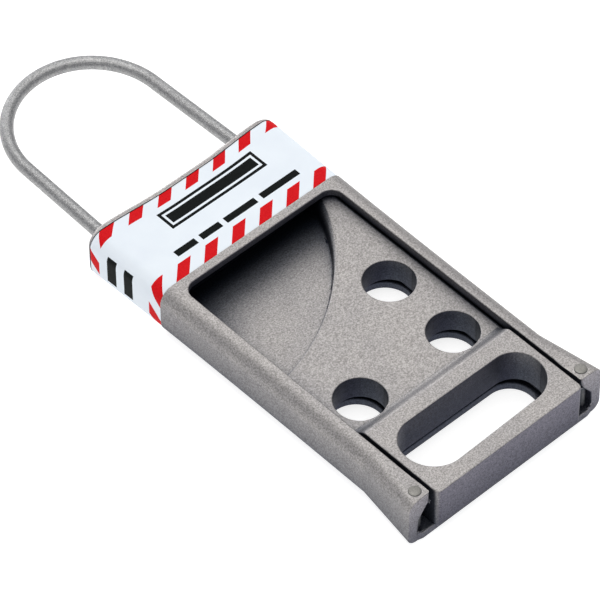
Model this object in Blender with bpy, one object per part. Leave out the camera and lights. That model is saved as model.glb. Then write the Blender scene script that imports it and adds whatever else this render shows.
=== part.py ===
"""Lockout hasp: a cast body with a sliding cover plate and a lifting wire shackle.

Built lying on its back. X runs across the hasp, +Y towards the shackle and +Z out of the back plate.
Lengths along the hasp are stated from the open end of the body and shifted once, by the function y_of.
"""

import math

import bmesh
import bpy
from mathutils import Matrix, Vector

MM = 0.001

# Body casting
THICKNESS = 14.0
BODY_HALF = 27.9
END_HALF = 30.0
FLARE_START = 17.0
BODY_LENGTH = 108.5
SIDE_RADIUS = 4.0
END_SIDE_RADIUS = 2.6
HEAD_HALF = 29.0
HEAD_CORNER_RADIUS = 2.6
EAR_RISE = 0.95
EAR_START = 6.0
EAR_FULL = 24.0
HEAD_EDGE_RADIUS = 1.2
RIM_STEPS = 5
SWELL_POWER = 3
SECTION_STEPS = 5
ACROSS_POINTS = (21.0, 18.6, 17.0, 15.4, 13.0, -13.0, -15.4, -17.0, -18.6, -21.0)
BACK_PLATE = 2.2
FOOT_HALF = 27.2
FOOT_CORNER = 1.5
FOOT_PROUD = 0.4

# Window and guide groove
WINDOW_TOP = 81.6
WINDOW_HALF = 23.4
WINDOW_CORNER_RADIUS = 3.4
END_WINDOW_HALF = 23.5
LIP_CHAMFER = 0.6
LIP_UNDERSIDE = 11.9
GROOVE_HALF = 25.6
GROOVE_SHOULDER = 7.2
GROOVE_FLARE = 1.3
GROOVE_BEVEL = 0.8
HEAD_CAVITY_END = 87.2

# Label seat and label
LABEL_START = 83.8
LABEL_END = 106.9
CARRY_START = 95.0
HEAD_TURN = BODY_LENGTH - HEAD_CORNER_RADIUS
LABEL_STATIONS = (LABEL_START, CARRY_START, HEAD_TURN, (HEAD_TURN + LABEL_END) / 2, LABEL_END)
LABEL_SEAT_DEPTH = 0.5
LABEL_INSET = 0.15
LABEL_SHEET = 0.2
LABEL_EDGE_GAP = 0.15

# Slide casting
SLIDE_BOTTOM = 2.5
UNDERSIDE = 4.7
UNDERSIDE_HALF = 21.5
UNDERSIDE_START = 0.3
SLIDE_TOP = 11.3
SLIDE_NOSE = 85.7
TONGUE_HALF = 25.2
TONGUE_SHOULDER = 6.9
TONGUE_SLOPE_HALF = 23.4
TONGUE_SLOPE_TOP = 11.0
PLATE_TOP_HALF = 23.1
TONGUE_START = 22.2
BLEND_START = 21.5
BLEND_END = 26.0
BLEND_STEPS = 6
BLOCK_HALF = 22.5
BLOCK_PROUD = 1.5
HOME_GAP = 1.2
BLOCK_CORNER_RADIUS = 1.4
BLOCK_CORNER_STEPS = 3
SCOOP_CENTRE = (-33.5, 103.0)
SCOOP_RADIUS = 56.3
SCOOP_ARC = (-84, -8)
SCOOP_STEP = 0.35
SCOOP_FALL = 5.15
SCOOP_START = 45.4
SCOOP_POWER = 1.7
SCOOP_STEPS = 28
RAMP_STEPS = 10
FINGER_X = (14.6, 17.5)
FINGER_Z = (3.5, 5.6)
FINGER_ROOT = 83.6
FINGER_TIP = 100.1
FINGER_GAP = 0.35
CHANNEL_END_GAP = 0.6

# Padlock holes and slot, as (x, distance from the open end)
HOLE_RADIUS = 6.25
BACK_HOLE_RADIUS = 6.8
HOLE_STEPS = 32
SLIDE_HOLES = ((14.3, 52.8), (14.3, 31.8), (-14.8, 31.6))
SLOT_CORNERS = ((-20.3, 2.5), (20.5, 3.5), (20.5, 17.8), (-20.3, 18.1))
SLOT_CORNER_RADII = (8.0, 7.9, 6.2, 7.0)
SLOT_CORNER_STEPS = 7

# Shackle
WIRE_RADIUS = 1.7
LEG_X = 21.2
BEND_RADIUS = 20.4
BEND_SHIFT = -0.35
WIRE_Z = 5.8
LOOP_RISE = 1.7
BEND_CENTRE = 139.6
WIRE_SIDES = 16
BEND_STEPS = 28
LEG_TIP_CHAMFER = 0.4
LEG_CLEARANCE = 0.35
LEG_STRAIGHT_END = 112.0
LIFT = 12.0
LONG_LEG_END = 88.6
LONG_BORE_END = 88.2
SHORT_LEG_END = 98.1
SHORT_BORE_END = 97.6
NECK_RADIUS = 0.9
NOTCH_SPAN = (100.0, 102.8)
NOTCH_DEPTH = 1.0

# Retaining pin of the long leg
KEEPER_AT = 104.0
KEEPER_RADIUS = 0.9
KEEPER_NECK_GAP = 0.25
KEEPER_Z = (0.85, 12.0)

# Latch spring and its pin
LEAF_X = (17.9, 18.4)
LEAF_Z = (4.6, 7.8)
LEAF_TIP = 103.4
TOOTH_SPAN = (100.5, 102.3)
TOOTH_REACH = 20.3
EYE_CENTRE = (19.5, 91.2)
EYE_RADIUS = 1.6
EYE_BORE = 0.95
EYE_STEPS = 16
ANCHOR_RADIUS = 0.7
ANCHOR_Z = (0.85, 9.2)
POCKET_X = (17.5, 21.5)
POCKET_Z = (4.2, 8.2)
POCKET_SPAN = (89.0, 104.0)

# Stop pins
STOP_X = 25.8
STOP_AT = 2.6
STOP_RADIUS = 1.5
STOP_Z = (2.6, 14.1)
STOP_DOME = 0.25
STOP_DOME_FLAT = 0.3
STOP_DOME_STEPS = 2
STOP_STEPS = 20

PIN_CLEARANCE = 0.15
OVERRUN = 3.0
OVERLAP = 0.6
SKIM = 0.05
WELD = 0.002
ROUND_BELOW = 50.0
PIN_STEPS = 16

Y_LOW = -BLOCK_PROUD
Y_HIGH = BEND_CENTRE + BEND_RADIUS + WIRE_RADIUS
Y_MIDDLE = (Y_LOW + Y_HIGH) / 2


def y_of(along):
    """World y, in millimetres, of a distance measured from the body's open end."""
    return along - Y_MIDDLE


def cast_steel():
    return make_material("cast_steel", (0.45, 0.43, 0.42), 0.55, 1.0)


def wire_steel():
    return make_material("wire_steel", (0.40, 0.40, 0.41), 0.4, 1.0)


def spring_steel():
    return make_material("spring_steel", (0.30, 0.31, 0.33), 0.3, 1.0)


def label_film():
    return make_material("label_film", (0.83, 0.88, 0.93), 0.35, 0.0)


def make_material(name, colour, roughness, metallic):
    mat = bpy.data.materials.new(name)
    mat.use_nodes = True
    shader = mat.node_tree.nodes["Principled BSDF"]
    shader.inputs["Base Color"].default_value = (*colour, 1.0)
    shader.inputs["Roughness"].default_value = roughness
    shader.inputs["Metallic"].default_value = metallic
    return mat


def clear_scene():
    for item in list(bpy.data.objects):
        bpy.data.objects.remove(item, do_unlink=True)


def object_from(name, bm):
    """A new object of the mesh, with its faces turned outwards."""
    bmesh.ops.recalc_face_normals(bm, faces=bm.faces)
    mesh = bpy.data.meshes.new(name)
    bm.to_mesh(mesh)
    bm.free()
    item = bpy.data.objects.new(name, mesh)
    bpy.context.scene.collection.objects.link(item)
    return item


def ribbed_cap(bm, row):
    """Closes a ring that is even about a level plane with upright strips, so that it may curve in plan."""
    middle = sum(vert.co.z for vert in row) / len(row)
    upper = [vert for vert in row if vert.co.z > middle]
    lower = [vert for vert in row if vert.co.z < middle]
    upper.sort(key=lambda vert: (vert.co.x, math.copysign(vert.co.z, vert.co.x)))
    lower.sort(key=lambda vert: (vert.co.x, -math.copysign(vert.co.z, vert.co.x)))
    for i in range(len(upper) - 1):
        bm.faces.new((lower[i], lower[i + 1], upper[i + 1], upper[i]))


def loft(name, rings, closed=False, ribbed=False):
    """A solid through rings of equal point counts. A closed loft joins its last ring to its first."""
    bm = bmesh.new()
    rows = []
    for ring in rings:
        rows.append([bm.verts.new(Vector(point) * MM) for point in ring])
    count = len(rows[0])
    pairs = list(zip(rows, rows[1:]))
    if closed:
        pairs.append((rows[-1], rows[0]))
    for low, high in pairs:
        for i in range(count):
            j = (i + 1) % count
            bm.faces.new((low[i], low[j], high[j], high[i]))
    if not closed:
        bm.faces.new(rows[0])
        if ribbed:
            ribbed_cap(bm, rows[-1])
        else:
            bm.faces.new(rows[-1])
    return object_from(name, bm)


def plan_prism(name, outline, bottom, top):
    """Stands a plan outline of (x, distance from the open end) up between two heights."""
    low = [(x, y_of(along), bottom) for x, along in outline]
    high = [(x, y_of(along), top) for x, along in outline]
    return loft(name, (low, high))


def box(name, x_span, along_span, z_span):
    outline = [
        (x_span[0], along_span[0]),
        (x_span[1], along_span[0]),
        (x_span[1], along_span[1]),
        (x_span[0], along_span[1]),
    ]
    return plan_prism(name, outline, z_span[0], z_span[1])


def arc_points(centre, radius, start, end, steps):
    """Points of an arc, both ends included. Angles are in degrees."""
    points = []
    for i in range(steps + 1):
        angle = math.radians(start + (end - start) * i / steps)
        points.append((centre[0] + radius * math.cos(angle), centre[1] + radius * math.sin(angle)))
    return points


def circle(centre, radius, steps):
    return arc_points(centre, radius, 0, 360 * (steps - 1) / steps, steps - 1)


def upright_cylinder(name, centre, radius, z_span, steps):
    return plan_prism(name, circle(centre, radius, steps), z_span[0], z_span[1])


def along_cylinder(name, x, z, radius, along_span, steps):
    """A round bar that runs along the hasp."""
    profile = circle((x, z), radius, steps)
    rings = [[(px, y_of(along), pz) for px, pz in profile] for along in along_span]
    return loft(name, rings)


def boolean(target, tool, operation):
    """Applies an exact Boolean to the target and removes the tool."""
    tool.hide_render = True
    tool.display_type = "WIRE"
    modifier = target.modifiers.new("boolean", "BOOLEAN")
    modifier.operation = operation
    modifier.solver = "EXACT"
    modifier.object = tool
    bpy.context.view_layer.update()
    graph = bpy.context.evaluated_depsgraph_get()
    mesh = bpy.data.meshes.new_from_object(target.evaluated_get(graph))
    target.modifiers.clear()
    target.data = mesh
    bpy.data.objects.remove(tool, do_unlink=True)
    bm = bmesh.new()
    bm.from_mesh(mesh)
    bmesh.ops.remove_doubles(bm, verts=bm.verts, dist=WELD * MM)
    bmesh.ops.dissolve_degenerate(bm, edges=bm.edges, dist=WELD * MM)
    bm.to_mesh(mesh)
    bm.free()


def finish(item, material):
    """Gives the piece its material and shades its round faces smooth."""
    item.data.materials.append(material)
    item.data.shade_smooth()
    item.data.set_sharp_from_angle(angle=math.radians(ROUND_BELOW))
    return item


def set_origin(item, x, along, z):
    """Moves the piece's origin without moving the piece."""
    place = Vector((x, y_of(along), z)) * MM
    item.data.transform(Matrix.Translation(-place))
    item.location = place


def cut(target, tool):
    boolean(target, tool, "DIFFERENCE")


def join(target, tool):
    boolean(target, tool, "UNION")


def rounded_section(half, bottom, top, radius, along):
    """A rounded rectangle across the hasp, as one ring."""
    corners = (
        (half - radius, bottom + radius, -90),
        (half - radius, top - radius, 0),
        (-half + radius, top - radius, 90),
        (-half + radius, bottom + radius, 180),
    )
    ring = []
    for x, z, start in corners:
        for px, pz in arc_points((x, z), radius, start, start + 90, SECTION_STEPS):
            ring.append((px, y_of(along), pz))
        if start in (0, 180):
            side = 1 if start == 0 else -1
            flat = top if start == 0 else bottom
            ring.extend((side * px, y_of(along), flat) for px in ACROSS_POINTS)
    return ring


def drop_at(along, radius):
    """How far a rounded end has fallen back at this distance."""
    past = max(0.0, along - (BODY_LENGTH - radius))
    return radius - math.sqrt(max(0.0, radius * radius - past * past))


def body_section(along, inset=0.0):
    """The outer shape of the body across the hasp at one distance from its open end."""
    flare = max(0.0, 1.0 - along / FLARE_START)
    swell = min(1.0, max(0.0, (along - FLARE_START) / (LABEL_END - FLARE_START)))
    half = BODY_HALF + (END_HALF - BODY_HALF) * flare + (HEAD_HALF - BODY_HALF) * swell**SWELL_POWER
    half -= drop_at(along, HEAD_CORNER_RADIUS)
    radius = SIDE_RADIUS + (END_SIDE_RADIUS - SIDE_RADIUS) * flare
    edge = drop_at(along, HEAD_EDGE_RADIUS)
    low = edge + inset
    return rounded_section(half - inset, low, THICKNESS - low, radius - inset, along)


def ear_rise(x):
    """How far the head's end face stands forward round the two legs."""
    part = min(1.0, max(0.0, (abs(x) - EAR_START) / (EAR_FULL - EAR_START)))
    return EAR_RISE * part * part * (3 - 2 * part)


def carry_share(along):
    """How much of the ears' rise a section takes. The label's end and the rim past it take all of it."""
    return min(1.0, max(0.0, (along - CARRY_START) / (HEAD_TURN - CARRY_START)))


def head_section(along, inset=0.0):
    """A section of the head, carried forward beside the legs as it nears the end face."""
    share = carry_share(along)
    return [(x, y + share * ear_rise(x), z) for x, y, z in body_section(along, inset)]


def body_shell():
    rings = [body_section(along) for along in (0.0, FLARE_START, LABEL_START)]
    rings.extend(head_section(along, LABEL_SEAT_DEPTH) for along in LABEL_STATIONS)
    for i in range(RIM_STEPS + 1):
        turn = math.sin(math.pi / 2 * i / RIM_STEPS)
        rings.append(head_section(LABEL_END + (BODY_LENGTH - LABEL_END) * turn))
    return loft("body", rings, ribbed=True)


def groove_tool():
    """The guide groove below the lips, carried on under the head."""
    rings = []
    for along, flare in ((-OVERRUN, 1.0), (0.0, 1.0), (FLARE_START, 0.0), (HEAD_CAVITY_END, 0.0)):
        wide = GROOVE_HALF + GROOVE_FLARE * flare
        lip = WINDOW_HALF + (END_WINDOW_HALF - WINDOW_HALF) * flare
        bevel = GROOVE_BEVEL * flare + SKIM
        half = (
            (wide - bevel, BACK_PLATE),
            (wide, BACK_PLATE + bevel),
            (wide, GROOVE_SHOULDER),
            (lip, LIP_UNDERSIDE),
        )
        ring = [(x, y_of(along), z) for x, z in half]
        ring += [(-x, y_of(along), z) for x, z in reversed(half)]
        rings.append(ring)
    return loft("groove_tool", rings)


def foot():
    """The back plate's end, which stands a little proud between the rails. The groove's tool levels its top."""
    outline = [
        (-FOOT_HALF, OVERLAP),
        (-FOOT_HALF, 0.0),
        (FOOT_CORNER - FOOT_HALF, -FOOT_PROUD),
        (FOOT_HALF - FOOT_CORNER, -FOOT_PROUD),
        (FOOT_HALF, 0.0),
        (FOOT_HALF, OVERLAP),
    ]
    return plan_prism("foot", outline, 0.0, BACK_PLATE + OVERLAP)


def window_tool():
    """The opening between the lips, rounded where it meets the head."""
    right = [
        (END_WINDOW_HALF + LIP_CHAMFER + OVERRUN, -OVERRUN),
        (END_WINDOW_HALF + LIP_CHAMFER, 0.0),
        (END_WINDOW_HALF, LIP_CHAMFER),
        (WINDOW_HALF, FLARE_START),
    ]
    centre = (WINDOW_HALF - WINDOW_CORNER_RADIUS, WINDOW_TOP - WINDOW_CORNER_RADIUS)
    right += arc_points(centre, WINDOW_CORNER_RADIUS, 0, 90, SECTION_STEPS)
    left = [(-x, along) for x, along in reversed(right)]
    return plan_prism("window_tool", right + left, LIP_UNDERSIDE - OVERLAP, THICKNESS + OVERRUN)


def rounded_outline(corners, radii, steps):
    """A plan outline with each of its corners, given in order round it, turned to an arc."""
    outline = []
    count = len(corners)
    for i, (corner, radius) in enumerate(zip(corners, radii)):
        here = Vector(corner)
        back = (Vector(corners[i - 1]) - here).normalized()
        onward = (Vector(corners[(i + 1) % count]) - here).normalized()
        half_angle = back.angle(onward) / 2
        middle = (back + onward).normalized()
        centre = here + middle * (radius / math.sin(half_angle))
        first = here + back * (radius / math.tan(half_angle)) - centre
        last = here + onward * (radius / math.tan(half_angle)) - centre
        turn = first.angle_signed(last)
        for k in range(steps + 1):
            angle = -turn * k / steps
            spoke = Vector((first.x, first.y))
            spoke.rotate(Matrix.Rotation(angle, 2))
            outline.append((centre.x + spoke.x, centre.y + spoke.y))
    return outline


def slot_outline(shift=0.0):
    """The slot across the end block. Its two ends differ a little, as cast."""
    corners = [(x, along + shift) for x, along in SLOT_CORNERS]
    return rounded_outline(corners, SLOT_CORNER_RADII, SLOT_CORNER_STEPS)


def make_body():
    body = body_shell()
    join(body, foot())
    cut(body, groove_tool())
    cut(body, window_tool())
    through = (-OVERRUN, BACK_PLATE + OVERRUN)
    for x, along in SLIDE_HOLES:
        centre = (x, along + HOME_GAP)
        cut(body, upright_cylinder("tool", centre, BACK_HOLE_RADIUS, through, HOLE_STEPS))
    back_slot = slot_outline(HOME_GAP)
    cut(body, plan_prism("tool", back_slot, through[0], through[1]))
    bore = WIRE_RADIUS + LEG_CLEARANCE
    beyond = BODY_LENGTH + OVERRUN
    cut(body, along_cylinder("tool", -LEG_X, WIRE_Z, bore, (LONG_BORE_END, beyond), WIRE_SIDES))
    cut(body, along_cylinder("tool", LEG_X, WIRE_Z, bore, (SHORT_BORE_END, beyond), WIRE_SIDES))
    channel_x = (FINGER_X[0] - FINGER_GAP, FINGER_X[1] + FINGER_GAP)
    channel_z = (FINGER_Z[0] - FINGER_GAP, FINGER_Z[1] + FINGER_GAP)
    channel_end = FINGER_TIP + HOME_GAP + CHANNEL_END_GAP
    cut(body, box("tool", channel_x, (HEAD_CAVITY_END - OVERLAP, channel_end), channel_z))
    cut(body, box("tool", POCKET_X, POCKET_SPAN, POCKET_Z))
    stop_z = (BACK_PLATE + SKIM, THICKNESS + OVERRUN)
    for side in (-1, 1):
        centre = (side * STOP_X, STOP_AT)
        cut(body, upright_cylinder("tool", centre, STOP_RADIUS + PIN_CLEARANCE, stop_z, STOP_STEPS))
    keeper_z = (-OVERRUN, KEEPER_Z[1] + PIN_CLEARANCE)
    keeper = upright_cylinder("tool", keeper_centre(), KEEPER_RADIUS + PIN_CLEARANCE, keeper_z, PIN_STEPS)
    cut(body, keeper)
    anchor_z = (-OVERRUN, ANCHOR_Z[1] + PIN_CLEARANCE)
    anchor = upright_cylinder("tool", EYE_CENTRE, ANCHOR_RADIUS + PIN_CLEARANCE, anchor_z, PIN_STEPS)
    cut(body, anchor)
    return finish(body, cast_steel())


def keeper_centre():
    """The retaining pin stands beside the neck of the long leg, on its inner side."""
    return (-LEG_X + NECK_RADIUS + KEEPER_NECK_GAP + KEEPER_RADIUS, KEEPER_AT)


def tongue_plate():
    half = (
        (TONGUE_HALF, SLIDE_BOTTOM),
        (TONGUE_HALF, TONGUE_SHOULDER),
        (TONGUE_SLOPE_HALF, TONGUE_SLOPE_TOP),
        (PLATE_TOP_HALF, SLIDE_TOP),
    )
    profile = list(half) + [(-x, z) for x, z in reversed(half)]
    rings = [[(x, y_of(along), z) for x, z in profile] for along in (TONGUE_START, SLIDE_NOSE)]
    return loft("slide", rings)


def end_block():
    inner = BLOCK_HALF - BLOCK_CORNER_RADIUS
    near = BLOCK_CORNER_RADIUS - BLOCK_PROUD
    outline = arc_points((inner, near), BLOCK_CORNER_RADIUS, -90, 0, BLOCK_CORNER_STEPS)
    outline += [(BLOCK_HALF, BLEND_START), (-BLOCK_HALF, BLEND_START)]
    outline += arc_points((-inner, near), BLOCK_CORNER_RADIUS, 180, 270, BLOCK_CORNER_STEPS)
    return plan_prism("end_block", outline, SLIDE_BOTTOM, THICKNESS)


def block_blend():
    """The soft slope from the end block's top down to the plate."""
    profile = [(BLEND_START - OVERLAP, SLIDE_BOTTOM), (BLEND_START - OVERLAP, THICKNESS - OVERLAP)]
    for i in range(BLEND_STEPS + 1):
        part = i / BLEND_STEPS
        height = THICKNESS + (SLIDE_TOP - THICKNESS) * part * part * (3 - 2 * part)
        profile.append((BLEND_START + (BLEND_END - BLEND_START) * part, height))
    profile.append((BLEND_END, SLIDE_BOTTOM))
    rings = [[(x, y_of(along), z) for along, z in profile] for x in (-BLOCK_HALF, BLOCK_HALF)]
    return loft("block_blend", rings)


def scoop_floor(along):
    """Height of the thumb scoop's floor, a ramp that steepens towards the head."""
    share = max(0.0, (along - SCOOP_START) / (SLIDE_NOSE - SCOOP_START))
    return SLIDE_TOP - SCOOP_STEP - SCOOP_FALL * share**SCOOP_POWER


def ramp_tool():
    """Everything above the scoop's floor, over the whole width of the slide."""
    far = SLIDE_NOSE + OVERRUN
    places = [SCOOP_START + (far - SCOOP_START) * i / RAMP_STEPS for i in range(RAMP_STEPS + 1)]
    profile = [(along, scoop_floor(along)) for along in places]
    profile += [(far, THICKNESS), (SCOOP_START, THICKNESS)]
    reach = TONGUE_HALF + OVERRUN
    rings = [[(x, y_of(along), z) for along, z in profile] for x in (-reach, reach)]
    return loft("ramp_tool", rings)


def scoop_tool():
    """The part of the ramp tool on the head side of the scoop's round wall."""
    plan = arc_points(SCOOP_CENTRE, SCOOP_RADIUS, SCOOP_ARC[0], SCOOP_ARC[1], SCOOP_STEPS)
    plan.append((-TONGUE_HALF - 2 * OVERRUN, plan[-1][1]))
    plan.append((-TONGUE_HALF - 2 * OVERRUN, plan[0][1]))
    tool = plan_prism("scoop_tool", plan, SLIDE_BOTTOM, THICKNESS - OVERLAP)
    boolean(tool, ramp_tool(), "INTERSECT")
    return tool


def make_slide():
    slide = tongue_plate()
    join(slide, end_block())
    join(slide, block_blend())
    cut(slide, scoop_tool())
    pocket_x = (-UNDERSIDE_HALF, UNDERSIDE_HALF)
    cut(slide, box("tool", pocket_x, (UNDERSIDE_START, SLIDE_NOSE + OVERRUN), (-OVERRUN, UNDERSIDE)))
    join(slide, box("finger", FINGER_X, (FINGER_ROOT, FINGER_TIP), FINGER_Z))
    through = (-OVERRUN, THICKNESS + OVERRUN)
    for centre in SLIDE_HOLES:
        cut(slide, upright_cylinder("tool", centre, HOLE_RADIUS, through, HOLE_STEPS))
    cut(slide, plan_prism("tool", slot_outline(), through[0], through[1]))
    set_origin(slide, 0.0, BLEND_START, SLIDE_BOTTOM)
    return finish(slide, cast_steel())


def wire_ring(centre, across, radius):
    """A ring round the wire, which rises a little past its straight legs. Across is the unit vector in
    plan that points out of the bend."""
    ring = []
    past = max(0.0, centre[1] - LEG_STRAIGHT_END) / (BEND_CENTRE + BEND_RADIUS - LEG_STRAIGHT_END)
    height = WIRE_Z + LOOP_RISE * past * past
    for i in range(WIRE_SIDES):
        angle = 2 * math.pi * i / WIRE_SIDES
        out = radius * math.cos(angle)
        up = radius * math.sin(angle)
        ring.append((centre[0] + across[0] * out, y_of(centre[1] + across[1] * out), height + up))
    return ring


def make_shackle():
    neck_top = KEEPER_AT + KEEPER_RADIUS + PIN_CLEARANCE * 2
    neck_low = KEEPER_AT - LIFT - KEEPER_RADIUS - PIN_CLEARANCE * 2
    tip = WIRE_RADIUS - LEG_TIP_CHAMFER
    left = (
        (LONG_LEG_END, tip),
        (LONG_LEG_END + LEG_TIP_CHAMFER, WIRE_RADIUS),
        (neck_low, WIRE_RADIUS),
        (neck_low, NECK_RADIUS),
        (neck_top, NECK_RADIUS),
        (neck_top, WIRE_RADIUS),
        (LEG_STRAIGHT_END, WIRE_RADIUS),
    )
    rings = [wire_ring((-LEG_X, along), (-1.0, 0.0), radius) for along, radius in left]
    for i in range(BEND_STEPS + 1):
        angle = math.pi - math.pi * i / BEND_STEPS
        across = (math.cos(angle), math.sin(angle))
        centre = (BEND_SHIFT + BEND_RADIUS * across[0], BEND_CENTRE + BEND_RADIUS * across[1])
        rings.append(wire_ring(centre, across, WIRE_RADIUS))
    right = (
        (LEG_STRAIGHT_END, WIRE_RADIUS),
        (SHORT_LEG_END + LEG_TIP_CHAMFER, WIRE_RADIUS),
        (SHORT_LEG_END, tip),
    )
    rings.extend(wire_ring((LEG_X, along), (1.0, 0.0), radius) for along, radius in right)
    shackle = loft("shackle", rings)
    inner_side = LEG_X - WIRE_RADIUS
    notch_x = (inner_side - OVERLAP, inner_side + NOTCH_DEPTH)
    notch_z = (WIRE_Z - WIRE_RADIUS - OVERLAP, WIRE_Z + WIRE_RADIUS + OVERLAP)
    cut(shackle, box("tool", notch_x, NOTCH_SPAN, notch_z))
    set_origin(shackle, 0.0, BEND_CENTRE, WIRE_Z)
    return finish(shackle, wire_steel())


def make_stop_pin(name, side):
    """A driven pin whose end is peened over to a low, rounded head."""
    centre = (side * STOP_X, STOP_AT)
    stages = [(STOP_Z[0], STOP_RADIUS)]
    for i in range(STOP_DOME_STEPS + 1):
        turn = math.pi / 2 * i / STOP_DOME_STEPS
        narrowed = STOP_DOME_FLAT + (1 - STOP_DOME_FLAT) * math.cos(turn)
        stages.append((STOP_Z[1] + STOP_DOME * math.sin(turn), STOP_RADIUS * narrowed))
    rings = []
    for z, radius in stages:
        rings.append([(x, y_of(along), z) for x, along in circle(centre, radius, STOP_STEPS)])
    pin = loft(name, rings)
    return finish(pin, wire_steel())


def make_retaining_pin():
    name = "shackle_retaining_pin"
    pin = upright_cylinder(name, keeper_centre(), KEEPER_RADIUS, KEEPER_Z, PIN_STEPS)
    return finish(pin, spring_steel())


def make_latch_spring():
    """A leaf with an eye round its anchor pin and a tooth that enters the short leg's notch."""
    spring = box("latch_spring", LEAF_X, (EYE_CENTRE[1], LEAF_TIP), LEAF_Z)
    join(spring, box("tooth", (LEAF_X[0], TOOTH_REACH), TOOTH_SPAN, LEAF_Z))
    join(spring, upright_cylinder("eye", EYE_CENTRE, EYE_RADIUS, LEAF_Z, EYE_STEPS))
    hole_z = (LEAF_Z[0] - OVERLAP, LEAF_Z[1] + OVERLAP)
    cut(spring, upright_cylinder("tool", EYE_CENTRE, EYE_BORE, hole_z, EYE_STEPS))
    return finish(spring, spring_steel())


def make_anchor_pin():
    pin = upright_cylinder("latch_spring_pin", EYE_CENTRE, ANCHOR_RADIUS, ANCHOR_Z, PIN_STEPS)
    return finish(pin, spring_steel())


def make_label():
    """A thin band wrapped round the head, inside the seat cast for it."""
    middle = LABEL_STATIONS[1:-1]
    stations = (LABEL_START + LABEL_EDGE_GAP, *middle, LABEL_END - LABEL_EDGE_GAP)
    outer = [head_section(along, LABEL_INSET) for along in stations]
    inner = [head_section(along, LABEL_INSET + LABEL_SHEET) for along in reversed(stations)]
    label = loft("label", outer + inner, closed=True)
    return finish(label, label_film())


def main():
    clear_scene()
    make_body()
    make_slide()
    make_shackle()
    make_stop_pin("stop_pin_left", -1)
    make_stop_pin("stop_pin_right", 1)
    make_retaining_pin()
    make_latch_spring()
    make_anchor_pin()
    make_label()


main()
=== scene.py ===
"""The looks of the lockout hasp: fine cast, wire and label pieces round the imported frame.

Lengths are in millimetres until a mesh is written. X runs across the hasp, Y towards the shackle.
Places along the hasp are stated from the open end of the body and shifted once, by y_of.
"""

import math

import bmesh
import bpy
from mathutils import Matrix, Vector

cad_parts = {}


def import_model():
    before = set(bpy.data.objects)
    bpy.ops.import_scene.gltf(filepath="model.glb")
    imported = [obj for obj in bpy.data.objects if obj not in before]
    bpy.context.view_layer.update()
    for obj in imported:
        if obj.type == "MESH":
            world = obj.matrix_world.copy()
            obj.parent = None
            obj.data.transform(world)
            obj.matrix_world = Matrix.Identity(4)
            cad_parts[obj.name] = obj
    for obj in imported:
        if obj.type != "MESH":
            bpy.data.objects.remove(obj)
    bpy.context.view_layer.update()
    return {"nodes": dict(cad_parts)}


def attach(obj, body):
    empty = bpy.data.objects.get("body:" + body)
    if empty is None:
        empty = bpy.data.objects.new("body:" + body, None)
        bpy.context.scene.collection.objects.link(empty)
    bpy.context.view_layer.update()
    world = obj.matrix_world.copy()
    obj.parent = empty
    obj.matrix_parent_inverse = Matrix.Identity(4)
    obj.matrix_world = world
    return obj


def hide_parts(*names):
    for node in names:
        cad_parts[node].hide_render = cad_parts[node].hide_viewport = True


MM = 0.001

# Body casting
THICKNESS = 14.0
BODY_HALF = 27.9
END_HALF = 30.0
FLARE_START = 17.0
BODY_LENGTH = 108.5
SIDE_RADIUS = 4.0
END_SIDE_RADIUS = 2.6
HEAD_HALF = 29.0
HEAD_CORNER_RADIUS = 2.6
EAR_RISE = 0.95
EAR_START = 6.0
EAR_FULL = 24.0
HEAD_EDGE_RADIUS = 1.2
SECTION_STEPS = 12
ACROSS_STEPS = 28
ACROSS_HALF = 21.6
BACK_PLATE = 2.2
FOOT_HALF = 27.2
FOOT_CORNER = 1.5
FOOT_PROUD = 0.4
RAIL_STATIONS = (0.0, 3.0, 6.0, 9.0, 12.0, 14.5, 17.0, 20.0, 30.0, 45.0, 60.0, 72.0, 83.8)
RIM_STEPS = 10
SWELL_POWER = 3

# Window and guide groove
WINDOW_TOP = 81.6
WINDOW_HALF = 23.4
WINDOW_CORNER_RADIUS = 3.4
WINDOW_CORNER_STEPS = 14
END_WINDOW_HALF = 23.5
LIP_CHAMFER = 0.6
LIP_UNDERSIDE = 11.9
GROOVE_HALF = 25.6
GROOVE_SHOULDER = 7.2
GROOVE_FLARE = 1.3
GROOVE_BEVEL = 0.8
HEAD_CAVITY_END = 87.2

# Label
LABEL_START = 83.8
LABEL_END = 106.9
LABEL_STEPS = 24
LABEL_TURN_STEPS = 6
CARRY_START = 95.0
HEAD_TURN = BODY_LENGTH - HEAD_CORNER_RADIUS
LABEL_SEAT_DEPTH = 0.5
LABEL_INSET = 0.15
LABEL_SHEET = 0.2
LABEL_EDGE_GAP = 0.15

# Slide casting
SLIDE_BOTTOM = 2.5
UNDERSIDE = 4.7
UNDERSIDE_HALF = 21.5
UNDERSIDE_START = 0.3
SLIDE_TOP = 11.3
SLIDE_NOSE = 85.7
TONGUE_HALF = 25.2
TONGUE_SHOULDER = 6.9
TONGUE_SLOPE_HALF = 23.4
TONGUE_SLOPE_TOP = 11.0
PLATE_TOP_HALF = 23.1
TONGUE_START = 22.2
BLEND_START = 21.5
BLEND_END = 26.0
BLEND_STEPS = 20
BLOCK_HALF = 22.5
BLOCK_PROUD = 1.5
HOME_GAP = 1.2
BLOCK_CORNER_RADIUS = 1.4
BLOCK_CORNER_STEPS = 8
SCOOP_CENTRE = (-33.5, 103.0)
SCOOP_RADIUS = 56.3
SCOOP_ARC = (-84, -8)
SCOOP_STEP = 0.35
SCOOP_FALL = 5.15
SCOOP_START = 45.4
SCOOP_POWER = 1.7
SCOOP_STEPS = 72
RAMP_STEPS = 44
FINGER_X = (14.6, 17.5)
FINGER_Z = (3.5, 5.6)
FINGER_ROOT = 83.6
FINGER_TIP = 100.1
FINGER_GAP = 0.35
CHANNEL_END_GAP = 0.6

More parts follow.
